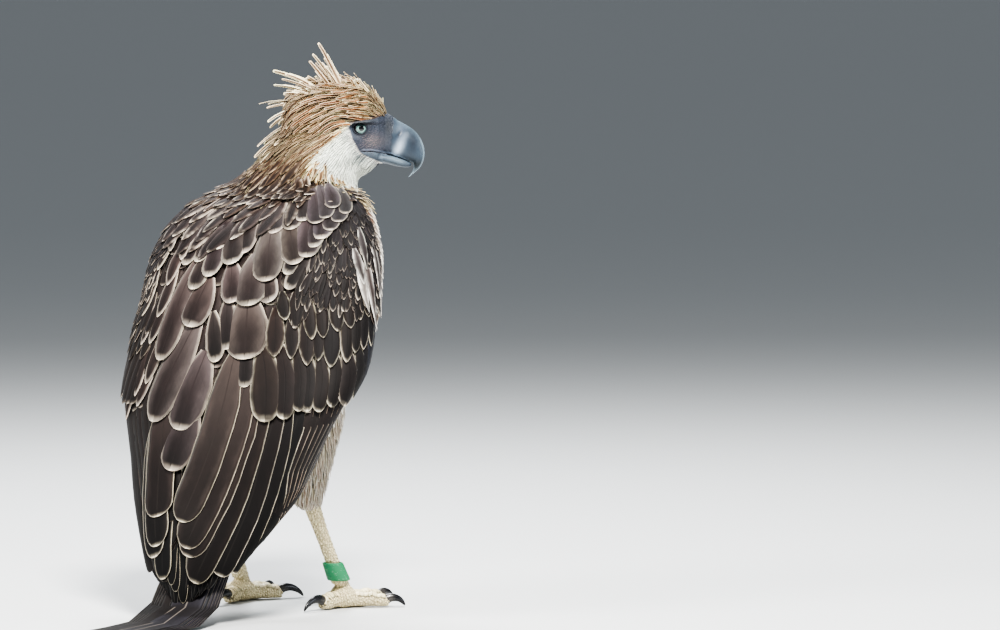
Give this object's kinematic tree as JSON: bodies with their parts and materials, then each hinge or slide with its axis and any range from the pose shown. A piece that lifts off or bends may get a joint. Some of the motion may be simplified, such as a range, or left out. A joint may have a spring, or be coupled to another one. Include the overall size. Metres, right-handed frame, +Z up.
{
  "type": "eagle",
  "caption": "Life-size still museum model of a Philippine eagle standing with closed wings, its head turned to the side and its tail laid on the floor.",
  "frame": {"origin": "centre of the bounding box's bottom face, on the floor", "axes": "+Z up; the bird's body faces -Y and its right side is -X, with its head turned towards -X"},
  "size_m": [0.36, 0.5636, 0.7288],
  "materials": {
    "head": "soft feathers, buff with dark streaks and a white cheek",
    "crest": "long narrow feathers, rufous buff with dark shafts",
    "bill": "smooth horn, blue grey",
    "eye": "wet and clear, pale blue iris",
    "neck": "narrow feathers, buff with dark streaks",
    "trunk": "rounded feathers, brown with pale edges above, creamy white below",
    "wing": "dark brown vanes with pale edges",
    "tail": "grey brown vanes with dark bars",
    "thigh": "soft loose feathers, white with brown streaks",
    "foot": "rough scales, pale yellow",
    "claw": "smooth black horn",
    "band": "plain green ring"
  },
  "bodies": {
    "root": {"head": "head", "crest": "crest", "bill_upper": "bill", "bill_lower": "bill", "eye_left": "eye", "eye_right": "eye", "neck": "neck", "trunk": "trunk", "wing_left": "wing", "wing_right": "wing", "tail": "tail", "thigh_left": "thigh", "thigh_right": "thigh", "shank_left": "foot", "shank_right": "foot", "foot_left": "foot", "foot_right": "foot", "claw_inner_left": "claw", "claw_middle_left": "claw", "claw_outer_left": "claw", "claw_hind_left": "claw", "claw_inner_right": "claw", "claw_middle_right": "claw", "claw_outer_right": "claw", "claw_hind_right": "claw", "leg_band": "band"}
  },
  "joints": []
}
